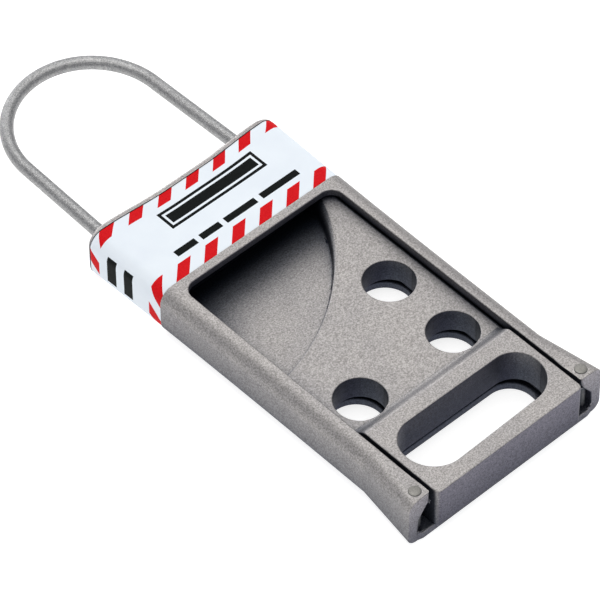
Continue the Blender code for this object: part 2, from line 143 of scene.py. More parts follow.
# Padlock holes and slot, as (x, distance from the open end)
HOLE_RADIUS = 6.25
BACK_HOLE_RADIUS = 6.8
HOLE_STEPS = 72
SLIDE_HOLES = ((14.3, 52.8), (14.3, 31.8), (-14.8, 31.6))
SLOT_CORNERS = ((-20.3, 2.5), (20.5, 3.5), (20.5, 17.8), (-20.3, 18.1))
SLOT_CORNER_RADII = (8.0, 7.9, 6.2, 7.0)
SLOT_CORNER_STEPS = 18

# Shackle
WIRE_RADIUS = 1.7
LEG_X = 21.2
BEND_RADIUS = 20.4
BEND_SHIFT = -0.35
WIRE_Z = 5.8
LOOP_RISE = 1.7
BEND_CENTRE = 139.6
WIRE_SIDES = 32
BEND_STEPS = 96
LEG_TIP_CHAMFER = 0.4
LEG_CLEARANCE = 0.35
LEG_STRAIGHT_END = 112.0
LIFT = 12.0
LONG_LEG_END = 88.6
LONG_BORE_END = 88.2
SHORT_LEG_END = 98.1
SHORT_BORE_END = 97.6
NECK_RADIUS = 0.9
NOTCH_SPAN = (100.0, 102.8)
NOTCH_DEPTH = 1.0

# Hidden pins and the latch pocket, for the bores they need
KEEPER_AT = 104.0
KEEPER_RADIUS = 0.9
KEEPER_NECK_GAP = 0.25
KEEPER_TOP = 12.0
EYE_CENTRE = (19.5, 91.2)
ANCHOR_RADIUS = 0.7
ANCHOR_TOP = 9.2
POCKET_X = (17.5, 21.5)
POCKET_Z = (4.2, 8.2)
POCKET_SPAN = (89.0, 104.0)

# Stop pins
STOP_X = 25.8
STOP_AT = 2.6
STOP_RADIUS = 1.5
STOP_BOTTOM = 2.6
STOP_TOP = 14.1
STOP_DOME = 0.25
STOP_DOME_FLAT = 0.3
STOP_DOME_STEPS = 8
STOP_STEPS = 48

PIN_CLEARANCE = 0.15
STOP_FIT = 0.03
PIN_STEPS = 24
OVERRUN = 3.0
OVERLAP = 0.6
SKIM = 0.05
WELD = 0.002
NEAR_AXIS = 0.01

# Soft edges of the castings: widths of their roundings
SHARP_DEGREES = 28.0
SMOOTH_DEGREES = 50.0
BEVEL_STEPS = 4
BODY_EDGE = 0.3
SLIDE_EDGE = 0.3
SCOOP_RIM_SHARE = 0.6
SCOOP_RIM_MOST = 2.4
SCOOP_FOOT_SHARE = 0.2
SCOOP_WALL_MARGIN = 0.2
NOSE_MARGIN = 0.5
BLEND_EDGE_SHARE = 0.3
HEAD_RIM_EDGE = 0.15
SEAT_MARGIN = 0.3
STOP_MARGIN = 1.0
END_MARGIN = 0.3
TOUCH = 0.1

Y_LOW = -BLOCK_PROUD
Y_HIGH = BEND_CENTRE + BEND_RADIUS + WIRE_RADIUS
Y_MIDDLE = (Y_LOW + Y_HIGH) / 2

# Camera
CAMERA_AZIMUTH = 43.027
CAMERA_ELEVATION = 48.799
CAMERA_DISTANCE = 1035.5
CAMERA_TARGET = (0.0, 60.0, 6.0)
CAMERA_LENS = 271.0
SENSOR = 36.0
AIM_RIGHT = -5.07
AIM_UP = 2.45
CLIP_START = 0.05
CLIP_END = 20.0

# Lights, as (name, place and side in metres, watts, colour), and the sky above the horizon
LIGHTS = (
    ("top_box", (0.05, 0.10, 0.95), 0.75, 4.2, (1.0, 0.985, 0.965)),
    ("back_box", (0.62, 0.66, 0.62), 0.6, 1.3, (1.0, 1.0, 1.0)),
    ("low_back_box", (0.12, 1.05, 0.36), 0.55, 2.2, (1.0, 1.0, 1.0)),
)
HORIZON = (0.46, 0.47, 0.51)
ZENITH = (0.66, 0.66, 0.66)
SKY_BAND = (0.0, 0.8)

# Floor, with its side in metres
FLOOR_SIDE = 6.0
FLOOR_CELLS = 12
FLOOR_DROP = 0.05
FLOOR_TONES = ((0.50, 0.50, 0.50), (0.52, 0.52, 0.52))
FLOOR_BAND = (0.3, 0.7)
FLOOR_ROUGHNESS = 0.9
FLOOR_SPECULAR = 0.1
FLOOR_GLOW = 0.8

# Noises, as (features to the metre, detail, roughness)
CAST_GRAIN = (2700.0, 3.0, 0.65)
CAST_FINE = (8000.0, 2.0, 0.5)
CAST_CLOUD = (70.0, 4.0, 0.6)
CAST_PITS = (1100.0, 5.0, 0.7)
WIRE_FLECK = (3000.0, 4.0, 0.7)
WIRE_MOTTLE = (500.0, 3.0, 0.6)
PAPER_CLOUD = (120.0, 3.0, 0.5)
INK_GRAIN = (3000.0, 2.0, 0.5)
FILM_RIPPLE = (240.0, 2.0, 0.5)
FLOOR_CLOUD = (6.0, 3.0, 0.5)

# Cast metal. A band is the pair of mask values between which a tone fades in.
PLAIN = (1.0, 1.0, 1.0)
CAST_DARK = (0.225, 0.215, 0.210)
CAST_LIGHT = (0.480, 0.462, 0.452)
CAST_CLOUD_TONES = ((0.95, 0.95, 0.96), (1.04, 1.035, 1.03))
CAST_EDGE = (0.50, 0.485, 0.465)
CAST_ROUGHNESS = (0.5, 0.62)
SPECK_BAND = (0.34, 0.66)
CLOUD_BAND = (0.35, 0.65)
PIT_BAND = (0.3, 0.7)
PATCH_BAND = (0.35, 0.6)
PATCH_SHARE = (0.25, 0.7)
EDGE_SHINE = 0.14
EDGE_RADIUS = 0.45
EDGE_BAND = (0.995, 0.86)
EDGE_SAMPLES = 6
FINE_SHARE = 0.35
GRAIN_SHARE = 0.65
PIT_SHARE = 0.4
CAST_BUMP = (0.6, 0.07)

# Painted light and shade of the cast metal and the pins, in place of light the plain studio does not give.
RECESS_REACH = 25.0
RECESS_SAMPLES = 8
RECESS_BAND = (0.38, 0.93)
RECESS_TINT = (0.17, 0.20, 0.27)
FRONT_BAND = (-0.55, -0.95)
SLIDE_FRONT_TINT = (0.50, 0.50, 0.62)
BODY_FRONT_TINT = (0.84, 0.84, 0.92)
SLOPE_BAND = (0.12, 0.175)
SLOPE_RECESS = (0.97, 0.84)
SLOPE_TINT = (0.36, 0.385, 0.43)
OPEN_SLOPE_BAND = (0.20, 0.42)
OPEN_SLOPE_UP = (0.45, 0.70)
OPEN_SLOPE_RECESS = (0.55, 0.75)
OPEN_SLOPE_TINT = (1.6, 1.6, 1.6)

# Wire, pin and spring, as dark and light tones and a span of roughness
WIRE_TONES = ((0.19, 0.191, 0.194), (0.47, 0.47, 0.47))
WIRE_ROUGHNESS = (0.3, 0.48)
PIN_TONES = ((0.215, 0.21, 0.197), (0.295, 0.288, 0.268))
PIN_ROUGHNESS = (0.45, 0.6)
SPRING_TONES = ((0.16, 0.165, 0.18), (0.34, 0.345, 0.36))
SPRING_ROUGHNESS = (0.22, 0.34)
FLECK_BAND = (0.38, 0.66)
MOTTLE_BAND = (0.35, 0.65)
WIRE_BUMP = (0.8, 0.12)

# Label print, in millimetres round and along the wrap. Stripes are (centre, middle, band along).
STRIPE_PITCH = 8.53
STRIPE_WIDTH = 4.0
TOP_STRIPES = (-23.9, 106.1, (103.9, 108.0))
LOW_STRIPES = (-19.2, 85.9, (83.0, 87.9))
BAR = ((-12.7, 16.9), (96.7, 102.4))
FRAME_OUTER = ((-11.9, 16.1), (97.5, 101.6))
FRAME_INNER = ((-11.3, 15.5), (98.1, 101.0))
RULES = ((-17.5, -11.2), (-9.8, -3.6), (-2.2, 7.4), (9.0, 20.6))
RULE_ALONG = (89.5, 91.4)
SIDE_RULES = ((98.6, 101.4), (93.4, 96.2))
SIDE_RULE_ACROSS = (-36.5, -28.5)
PAPER_TONES = ((0.735, 0.79, 0.85), (0.775, 0.83, 0.88))
RED_TONES = ((0.56, 0.004, 0.008), (0.64, 0.009, 0.013))
BLACK_TONES = ((0.003, 0.004, 0.004), (0.007, 0.009, 0.009))
PAPER_BAND = (0.3, 0.7)
INK_BAND = (0.35, 0.65)
FILM_ROUGHNESS = (0.50, 0.60)
FILM_SPECULAR = 0.05
FILM_BUMP = (0.35, 0.1)

# Inputs of the colour mix node
MIX_FIRST = 6
MIX_SECOND = 7


def y_of(along):
    """World y, in millimetres, of a distance measured from the body's open end."""
    return along - Y_MIDDLE


# Mesh helpers


def object_from(name, bm):
    """A new object of the mesh, with its faces turned outwards."""
    bmesh.ops.recalc_face_normals(bm, faces=bm.faces)
    mesh = bpy.data.meshes.new(name)
    bm.to_mesh(mesh)
    bm.free()
    item = bpy.data.objects.new(name, mesh)
    bpy.context.scene.collection.objects.link(item)
    return item


def ribbed_cap(bm, row):
    """Closes a ring that is even about a level plane with upright strips, so that it may curve in plan."""
    middle = sum(vert.co.z for vert in row) / len(row)
    upper = [vert for vert in row if vert.co.z > middle]
    lower = [vert for vert in row if vert.co.z < middle]
    upper.sort(key=lambda vert: (vert.co.x, math.copysign(vert.co.z, vert.co.x)))
    lower.sort(key=lambda vert: (vert.co.x, -math.copysign(vert.co.z, vert.co.x)))
    for i in range(len(upper) - 1):
        bm.faces.new((lower[i], lower[i + 1], upper[i + 1], upper[i]))


def loft(name, rings, closed=False, ribbed=False):
    """A solid through rings of equal point counts. A closed loft joins its last ring to its first."""
    bm = bmesh.new()
    rows = []
    for ring in rings:
        rows.append([bm.verts.new(Vector(point) * MM) for point in ring])
    count = len(rows[0])
    pairs = list(zip(rows, rows[1:]))
    if closed:
        pairs.append((rows[-1], rows[0]))
    for low, high in pairs:
        for i in range(count):
            j = (i + 1) % count
            bm.faces.new((low[i], low[j], high[j], high[i]))
    if not closed:
        bm.faces.new(rows[0])
        if ribbed:
            ribbed_cap(bm, rows[-1])
        else:
            bm.faces.new(rows[-1])
    return object_from(name, bm)


def plan_prism(name, outline, bottom, top):
    """Stands a plan outline of (x, distance from the open end) up between two heights."""
    low = [(x, y_of(along), bottom) for x, along in outline]
    high = [(x, y_of(along), top) for x, along in outline]
    return loft(name, (low, high))


def box(name, x_span, along_span, z_span):
    outline = [
        (x_span[0], along_span[0]),
        (x_span[1], along_span[0]),
        (x_span[1], along_span[1]),
        (x_span[0], along_span[1]),
    ]
    return plan_prism(name, outline, z_span[0], z_span[1])


def arc_points(centre, radius, start, end, steps):
    """Points of an arc, both ends included. Angles are in degrees."""
    points = []
    for i in range(steps + 1):
        angle = math.radians(start + (end - start) * i / steps)
        points.append((centre[0] + radius * math.cos(angle), centre[1] + radius * math.sin(angle)))
    return points


def circle(centre, radius, steps):
    return arc_points(centre, radius, 0, 360 * (steps - 1) / steps, steps - 1)


def upright_cylinder(name, centre, radius, z_span, steps):
    return plan_prism(name, circle(centre, radius, steps), z_span[0], z_span[1])


def along_cylinder(name, x, z, radius, along_span, steps):
    """A round bar that runs along the hasp."""
    profile = circle((x, z), radius, steps)
    rings = [[(px, y_of(along), pz) for px, pz in profile] for along in along_span]
    return loft(name, rings)


def settle(item):
    """Applies the item's modifiers to its mesh."""
    bpy.context.view_layer.update()
    graph = bpy.context.evaluated_depsgraph_get()
    mesh = bpy.data.meshes.new_from_object(item.evaluated_get(graph))
    item.modifiers.clear()
    item.data = mesh


def boolean(target, tool, operation):
    """Applies an exact Boolean to the target and removes the tool."""
    modifier = target.modifiers.new("boolean", "BOOLEAN")
    modifier.operation = operation
    modifier.solver = "EXACT"
    modifier.object = tool
    settle(target)
    bpy.data.objects.remove(tool, do_unlink=True)
    bm = bmesh.new()
    bm.from_mesh(target.data)
    bmesh.ops.remove_doubles(bm, verts=bm.verts, dist=WELD * MM)
    bmesh.ops.dissolve_degenerate(bm, edges=bm.edges, dist=WELD * MM)
    bm.to_mesh(target.data)
    bm.free()


def cut(target, tool):
    boolean(target, tool, "DIFFERENCE")


def join(target, tool):
    boolean(target, tool, "UNION")


def soften(item, width_at):
    """Rounds the sharp edges of a casting. width_at gives the rounding's width at an edge's middle."""
    bm = bmesh.new()
    bm.from_mesh(item.data)
    layer = bm.edges.layers.float.new("bevel_weight_edge")
    for edge in bm.edges:
        if len(edge.link_faces) == 2 and edge.calc_face_angle(0.0) > math.radians(SHARP_DEGREES):
            middle = (edge.verts[0].co + edge.verts[1].co) / (2 * MM)
            edge[layer] = width_at(middle.x, middle.y + Y_MIDDLE, middle.z)
    bm.to_mesh(item.data)
    bm.free()
    modifier = item.modifiers.new("soft_edges", "BEVEL")
    modifier.limit_method = "WEIGHT"
    modifier.width = MM
    modifier.segments = BEVEL_STEPS
    modifier.use_clamp_overlap = False
    modifier.miter_outer = "MITER_ARC"
    item.modifiers.new("even_shading", "WEIGHTED_NORMAL").keep_sharp = True
    shade(item)
    settle(item)


def shade(item):
    item.data.shade_smooth()
    item.data.set_sharp_from_angle(angle=math.radians(SMOOTH_DEGREES))


# Body


def rounded_section(half, bottom, top, radius, along):
    """A rounded rectangle across the hasp, as one ring."""
    corners = (
        (half - radius, bottom + radius, -90),
        (half - radius, top - radius, 0),
        (-half + radius, top - radius, 90),
        (-half + radius, bottom + radius, 180),
    )
    across = [ACROSS_HALF * (1 - 2 * i / ACROSS_STEPS) for i in range(ACROSS_STEPS + 1)]
    across = [x for x in across if abs(x) > NEAR_AXIS]
    ring = []
    for x, z, start in corners:
        for px, pz in arc_points((x, z), radius, start, start + 90, SECTION_STEPS):
            ring.append((px, y_of(along), pz))
        if start in (0, 180):
            side = 1 if start == 0 else -1
            flat = top if start == 0 else bottom
            ring.extend((side * px, y_of(along), flat) for px in across)
    return ring


def drop_at(along, radius):
    """How far a rounded end has fallen back at this distance."""
    past = max(0.0, along - (BODY_LENGTH - radius))
    return radius - math.sqrt(max(0.0, radius * radius - past * past))


def body_section(along, inset=0.0):
    """The outer shape of the body across the hasp at one distance from its open end."""
    flare = max(0.0, 1.0 - along / FLARE_START)
    swell = min(1.0, max(0.0, (along - FLARE_START) / (LABEL_END - FLARE_START)))
    half = BODY_HALF + (END_HALF - BODY_HALF) * flare + (HEAD_HALF - BODY_HALF) * swell**SWELL_POWER
    half -= drop_at(along, HEAD_CORNER_RADIUS)
    radius = SIDE_RADIUS + (END_SIDE_RADIUS - SIDE_RADIUS) * flare
    edge = drop_at(along, HEAD_EDGE_RADIUS)
    low = edge + inset
    return rounded_section(half - inset, low, THICKNESS - low, radius - inset, along)


def ear_rise(x):
    """How far the head's end face stands forward round the two legs."""
    part = min(1.0, max(0.0, (abs(x) - EAR_START) / (EAR_FULL - EAR_START)))
    return EAR_RISE * part * part * (3 - 2 * part)


def carry_share(along):
    """How much of the ears' rise a section takes. The label's end and the rim past it take all of it."""
    return min(1.0, max(0.0, (along - CARRY_START) / (HEAD_TURN - CARRY_START)))


def head_section(along, inset=0.0):
    """A section of the head, carried forward beside the legs as it nears the end face."""
    share = carry_share(along)
    return [(x, y + share * ear_rise(x), z) for x, y, z in body_section(along, inset)]


def label_stations(start, end):
    """Places along the label, closer together where the head's corner turns."""
    plain = [start + (HEAD_TURN - start) * i / LABEL_STEPS for i in range(LABEL_STEPS)]
    turned = [HEAD_TURN + (end - HEAD_TURN) * i / LABEL_TURN_STEPS for i in range(LABEL_TURN_STEPS + 1)]
    return plain + turned


def body_shell():
    rings = [body_section(along) for along in RAIL_STATIONS]
    rings.extend(head_section(along, LABEL_SEAT_DEPTH) for along in label_stations(LABEL_START, LABEL_END))
    for i in range(RIM_STEPS + 1):
        turn = math.sin(math.pi / 2 * i / RIM_STEPS)
        rings.append(head_section(LABEL_END + (BODY_LENGTH - LABEL_END) * turn))
    return loft("hasp_body", rings, ribbed=True)


def groove_tool():
    """The guide groove below the lips, carried on under the head."""
    rings = []
    for along, flare in ((-OVERRUN, 1.0), (0.0, 1.0), (FLARE_START, 0.0), (HEAD_CAVITY_END, 0.0)):
        wide = GROOVE_HALF + GROOVE_FLARE * flare
        lip = WINDOW_HALF + (END_WINDOW_HALF - WINDOW_HALF) * flare
        bevel = GROOVE_BEVEL * flare + SKIM
        half = (
            (wide - bevel, BACK_PLATE),
            (wide, BACK_PLATE + bevel),
            (wide, GROOVE_SHOULDER),
            (lip, LIP_UNDERSIDE),
        )
        ring = [(x, y_of(along), z) for x, z in half]
        ring += [(-x, y_of(along), z) for x, z in reversed(half)]
        rings.append(ring)
    return loft("groove_tool", rings)


def foot():
    """The back plate's end, a little proud between the rails. The groove's tool levels its top."""
    outline = [
        (-FOOT_HALF, OVERLAP),
        (-FOOT_HALF, 0.0),
        (FOOT_CORNER - FOOT_HALF, -FOOT_PROUD),
        (FOOT_HALF - FOOT_CORNER, -FOOT_PROUD),
        (FOOT_HALF, 0.0),
        (FOOT_HALF, OVERLAP),
    ]
    return plan_prism("foot", outline, 0.0, BACK_PLATE + OVERLAP)


def window_tool():
    """The opening between the lips, rounded where it meets the head."""
    right = [
        (END_WINDOW_HALF + LIP_CHAMFER + OVERRUN, -OVERRUN),
        (END_WINDOW_HALF + LIP_CHAMFER, 0.0),
        (END_WINDOW_HALF, LIP_CHAMFER),
        (WINDOW_HALF, FLARE_START),
    ]
    centre = (WINDOW_HALF - WINDOW_CORNER_RADIUS, WINDOW_TOP - WINDOW_CORNER_RADIUS)
    right += arc_points(centre, WINDOW_CORNER_RADIUS, 0, 90, WINDOW_CORNER_STEPS)
    left = [(-x, along) for x, along in reversed(right)]
    return plan_prism("window_tool", right + left, LIP_UNDERSIDE - OVERLAP, THICKNESS + OVERRUN)


def rounded_outline(corners, radii, steps):
    """A plan outline with each of its corners, given in order round it, turned to an arc."""
    outline = []
    count = len(corners)
    for i, (corner, radius) in enumerate(zip(corners, radii)):
        here = Vector(corner)
        back = (Vector(corners[i - 1]) - here).normalized()
        onward = (Vector(corners[(i + 1) % count]) - here).normalized()
        half_angle = back.angle(onward) / 2
        middle = (back + onward).normalized()
        centre = here + middle * (radius / math.sin(half_angle))
        first = here + back * (radius / math.tan(half_angle)) - centre
        last = here + onward * (radius / math.tan(half_angle)) - centre
        turn = first.angle_signed(last)
        for k in range(steps + 1):
            spoke = Vector((first.x, first.y))
            spoke.rotate(Matrix.Rotation(-turn * k / steps, 2))
            outline.append((centre.x + spoke.x, centre.y + spoke.y))
    return outline


def slot_outline(shift=0.0):
    """The slot across the end block. Its two ends differ a little."""
    corners = [(x, along + shift) for x, along in SLOT_CORNERS]
    return rounded_outline(corners, SLOT_CORNER_RADII, SLOT_CORNER_STEPS)


def keeper_centre():
    """The retaining pin stands beside the neck of the long leg, on its inner side."""
    return (-LEG_X + NECK_RADIUS + KEEPER_NECK_GAP + KEEPER_RADIUS, KEEPER_AT)


def cut_padlock_openings(body):
    through = (-OVERRUN, BACK_PLATE + OVERRUN)
    for x, along in SLIDE_HOLES:
        centre = (x, along + HOME_GAP)
        cut(body, upright_cylinder("tool", centre, BACK_HOLE_RADIUS, through, HOLE_STEPS))
    back_slot = slot_outline(HOME_GAP)
    cut(body, plan_prism("tool", back_slot, through[0], through[1]))


def cut_mechanism(body):
    """The bores of the legs and pins, and the latch's pocket and channel."""
    bore = WIRE_RADIUS + LEG_CLEARANCE
    beyond = BODY_LENGTH + OVERRUN
    cut(body, along_cylinder("tool", -LEG_X, WIRE_Z, bore, (LONG_BORE_END, beyond), WIRE_SIDES))
    cut(body, along_cylinder("tool", LEG_X, WIRE_Z, bore, (SHORT_BORE_END, beyond), WIRE_SIDES))
    channel_x = (FINGER_X[0] - FINGER_GAP, FINGER_X[1] + FINGER_GAP)
    channel_z = (FINGER_Z[0] - FINGER_GAP, FINGER_Z[1] + FINGER_GAP)
    channel_end = FINGER_TIP + HOME_GAP + CHANNEL_END_GAP
    cut(body, box("tool", channel_x, (HEAD_CAVITY_END - OVERLAP, channel_end), channel_z))
    cut(body, box("tool", POCKET_X, POCKET_SPAN, POCKET_Z))
    stop_z = (BACK_PLATE + SKIM, THICKNESS + OVERRUN)
    for side in (-1, 1):
        centre = (side * STOP_X, STOP_AT)
        cut(body, upright_cylinder("tool", centre, STOP_RADIUS + STOP_FIT, stop_z, STOP_STEPS))
    keeper_z = (-OVERRUN, KEEPER_TOP + PIN_CLEARANCE)
    cut(body, upright_cylinder("tool", keeper_centre(), KEEPER_RADIUS + PIN_CLEARANCE, keeper_z, PIN_STEPS))
    anchor_z = (-OVERRUN, ANCHOR_TOP + PIN_CLEARANCE)
    cut(body, upright_cylinder("tool", EYE_CENTRE, ANCHOR_RADIUS + PIN_CLEARANCE, anchor_z, PIN_STEPS))


def body_edge_width(x, along, z):
    """The edges of the label's seat and of the stop pins' bores stay sharp, and the head's rim nearly so."""
    if LABEL_START - SEAT_MARGIN < along < LABEL_END + TOUCH:
        return 0.0
    reach = STOP_RADIUS + STOP_MARGIN
    if abs(abs(x) - STOP_X) < reach and abs(along - STOP_AT) < reach and along > END_MARGIN:
        return 0.0
    if along > LABEL_END:
        return HEAD_RIM_EDGE
    return BODY_EDGE


def make_body():
    body = body_shell()
    join(body, foot())
    cut(body, groove_tool())
    cut(body, window_tool())
    cut_padlock_openings(body)
    cut_mechanism(body)
    soften(body, body_edge_width)
    return body


# Slide


def tongue_plate():
    half = (
        (TONGUE_HALF, SLIDE_BOTTOM),
        (TONGUE_HALF, TONGUE_SHOULDER),
        (TONGUE_SLOPE_HALF, TONGUE_SLOPE_TOP),
        (PLATE_TOP_HALF, SLIDE_TOP),
    )
    profile = list(half) + [(-x, z) for x, z in reversed(half)]
    rings = [[(x, y_of(along), z) for x, z in profile] for along in (TONGUE_START, SLIDE_NOSE)]
    return loft("hasp_slide", rings)


def end_block():
    inner = BLOCK_HALF - BLOCK_CORNER_RADIUS
    near = BLOCK_CORNER_RADIUS - BLOCK_PROUD
    outline = arc_points((inner, near), BLOCK_CORNER_RADIUS, -90, 0, BLOCK_CORNER_STEPS)
    outline += [(BLOCK_HALF, BLEND_START), (-BLOCK_HALF, BLEND_START)]
    outline += arc_points((-inner, near), BLOCK_CORNER_RADIUS, 180, 270, BLOCK_CORNER_STEPS)
    return plan_prism("end_block", outline, SLIDE_BOTTOM, THICKNESS)


def block_blend():
    """The soft slope from the end block's top down to the plate."""
    profile = [(BLEND_START - OVERLAP, SLIDE_BOTTOM), (BLEND_START - OVERLAP, THICKNESS - OVERLAP)]
    for i in range(BLEND_STEPS + 1):
        part = i / BLEND_STEPS
        height = THICKNESS + (SLIDE_TOP - THICKNESS) * part * part * (3 - 2 * part)
        profile.append((BLEND_START + (BLEND_END - BLEND_START) * part, height))
    profile.append((BLEND_END, SLIDE_BOTTOM))
    rings = [[(x, y_of(along), z) for along, z in profile] for x in (-BLOCK_HALF, BLOCK_HALF)]
    return loft("block_blend", rings)


def scoop_floor(along):
    """Height of the thumb scoop's floor, a ramp that steepens towards the head."""
    share = max(0.0, (along - SCOOP_START) / (SLIDE_NOSE - SCOOP_START))
    return SLIDE_TOP - SCOOP_STEP - SCOOP_FALL * share**SCOOP_POWER


def ramp_tool():
    """Everything above the scoop's floor, over the whole width of the slide."""
    far = SLIDE_NOSE + OVERRUN
    places = [SCOOP_START + (far - SCOOP_START) * i / RAMP_STEPS for i in range(RAMP_STEPS + 1)]
    profile = [(along, scoop_floor(along)) for along in places]
    profile += [(far, THICKNESS), (SCOOP_START, THICKNESS)]
    reach = TONGUE_HALF + OVERRUN
    rings = [[(x, y_of(along), z) for along, z in profile] for x in (-reach, reach)]
    return loft("ramp_tool", rings)


def scoop_tool():
    """The part of the ramp tool on the head side of the scoop's round wall."""
    plan = arc_points(SCOOP_CENTRE, SCOOP_RADIUS, SCOOP_ARC[0], SCOOP_ARC[1], SCOOP_STEPS)
    plan.append((-TONGUE_HALF - 2 * OVERRUN, plan[-1][1]))
    plan.append((-TONGUE_HALF - 2 * OVERRUN, plan[0][1]))
    tool = plan_prism("scoop_tool", plan, SLIDE_BOTTOM, THICKNESS - OVERLAP)
    boolean(tool, ramp_tool(), "INTERSECT")
    return tool


def slide_edge_width(x, along, z):
    """The scoop's rim is rounded in step with its depth, and the foot of its wall a little. The pocket, the
    nose and the tongue's start stay sharp."""
    reach = math.hypot(x - SCOOP_CENTRE[0], along - SCOOP_CENTRE[1])
    if abs(reach - SCOOP_RADIUS) < SCOOP_WALL_MARGIN and along > SCOOP_START:
        depth = SLIDE_TOP - scoop_floor(along)
        if z > SLIDE_TOP - SKIM:
            return min(SCOOP_RIM_MOST, SCOOP_RIM_SHARE * depth)
        return SCOOP_FOOT_SHARE * depth
    in_plan = abs(x) < UNDERSIDE_HALF + TOUCH and along > UNDERSIDE_START - TOUCH
    in_pocket = in_plan and z < UNDERSIDE + TOUCH
    at_tongue_start = z < SLIDE_TOP - TOUCH and TONGUE_START - TOUCH < along < TONGUE_START + TOUCH
    if in_pocket or at_tongue_start or along > SLIDE_NOSE - NOSE_MARGIN:
        return 0.0
    if abs(x) < BLOCK_HALF + TOUCH and BLEND_START - TOUCH < along < BLEND_END + TOUCH:
        return min(SLIDE_EDGE, BLEND_EDGE_SHARE * max(0.0, z - SLIDE_TOP))
    return SLIDE_EDGE


def make_slide():
    slide = tongue_plate()
    join(slide, end_block())
    join(slide, block_blend())
    cut(slide, scoop_tool())
    pocket_x = (-UNDERSIDE_HALF, UNDERSIDE_HALF)
    cut(slide, box("tool", pocket_x, (UNDERSIDE_START, SLIDE_NOSE + OVERRUN), (-OVERRUN, UNDERSIDE)))
    join(slide, box("finger", FINGER_X, (FINGER_ROOT, FINGER_TIP), FINGER_Z))
    through = (-OVERRUN, THICKNESS + OVERRUN)
    for centre in SLIDE_HOLES:
        cut(slide, upright_cylinder("tool", centre, HOLE_RADIUS, through, HOLE_STEPS))
    cut(slide, plan_prism("tool", slot_outline(), through[0], through[1]))
    soften(slide, slide_edge_width)
    return slide


# Shackle, pins and label


def wire_ring(centre, across, radius):
    """A ring round the wire, which rises a little past its straight legs. Across is the unit vector in
    plan that points out of the bend."""
    ring = []
    past = max(0.0, centre[1] - LEG_STRAIGHT_END) / (BEND_CENTRE + BEND_RADIUS - LEG_STRAIGHT_END)
    height = WIRE_Z + LOOP_RISE * past * past
    for i in range(WIRE_SIDES):
        angle = 2 * math.pi * i / WIRE_SIDES
        out = radius * math.cos(angle)
        up = radius * math.sin(angle)
        ring.append((centre[0] + across[0] * out, y_of(centre[1] + across[1] * out), height + up))
    return ring


def make_shackle():
    neck_top = KEEPER_AT + KEEPER_RADIUS + PIN_CLEARANCE * 2
    neck_low = KEEPER_AT - LIFT - KEEPER_RADIUS - PIN_CLEARANCE * 2
    tip = WIRE_RADIUS - LEG_TIP_CHAMFER
    left = [
        (LONG_LEG_END, tip),
        (LONG_LEG_END + LEG_TIP_CHAMFER, WIRE_RADIUS),
        (neck_low, WIRE_RADIUS),
        (neck_low, NECK_RADIUS),
        (neck_top, NECK_RADIUS),
        (neck_top, WIRE_RADIUS),
        (LEG_STRAIGHT_END, WIRE_RADIUS),
    ]
    rings = [wire_ring((-LEG_X, along), (-1.0, 0.0), radius) for along, radius in left]
    for i in range(BEND_STEPS + 1):
        angle = math.pi - math.pi * i / BEND_STEPS
        across = (math.cos(angle), math.sin(angle))
        centre = (BEND_SHIFT + BEND_RADIUS * across[0], BEND_CENTRE + BEND_RADIUS * across[1])
        rings.append(wire_ring(centre, across, WIRE_RADIUS))
    right = (
        (LEG_STRAIGHT_END, WIRE_RADIUS),
        (SHORT_LEG_END + LEG_TIP_CHAMFER, WIRE_RADIUS),
        (SHORT_LEG_END, tip),
    )
    rings.extend(wire_ring((LEG_X, along), (1.0, 0.0), radius) for along, radius in right)
    shackle = loft("hasp_shackle", rings)
    inner_side = LEG_X - WIRE_RADIUS
    notch_x = (inner_side - OVERLAP, inner_side + NOTCH_DEPTH)
    notch_z = (WIRE_Z - WIRE_RADIUS - OVERLAP, WIRE_Z + WIRE_RADIUS + OVERLAP)
    cut(shackle, box("tool", notch_x, NOTCH_SPAN, notch_z))
    shade(shackle)
    return shackle


def make_stop_pin(name, side):
    """A round pin that ends in a low, rounded head."""
    centre = (side * STOP_X, STOP_AT)
    stages = [(STOP_BOTTOM, STOP_RADIUS)]
    for i in range(STOP_DOME_STEPS + 1):
        turn = math.pi / 2 * i / STOP_DOME_STEPS
        narrowed = STOP_DOME_FLAT + (1 - STOP_DOME_FLAT) * math.cos(turn)
        stages.append((STOP_TOP + STOP_DOME * math.sin(turn), STOP_RADIUS * narrowed))
    rings = []
    for z, radius in stages:
        rings.append([(x, y_of(along), z) for x, along in circle(centre, radius, STOP_STEPS)])
    pin = loft(name, rings)
    shade(pin)
    return pin


def wrap_lengths(ring):
    """Distance of each ring point round the section from the middle of its top face, right being positive."""
    lengths = [0.0]
    closed = ring + ring[:1]
    for a, b in zip(closed, closed[1:]):
        lengths.append(lengths[-1] + math.hypot(b[0] - a[0], b[2] - a[2]))
    whole = lengths[-1]
    upper = THICKNESS / 2
    top = [i for i in range(len(ring) - 1) if ring[i][2] > upper and ring[i][0] > 0 >= ring[i + 1][0]][0]
    part = ring[top][0] / (ring[top][0] - ring[top + 1][0])
    middle = lengths[top] + part * (lengths[top + 1] - lengths[top])
    return [middle - length for length in lengths], whole


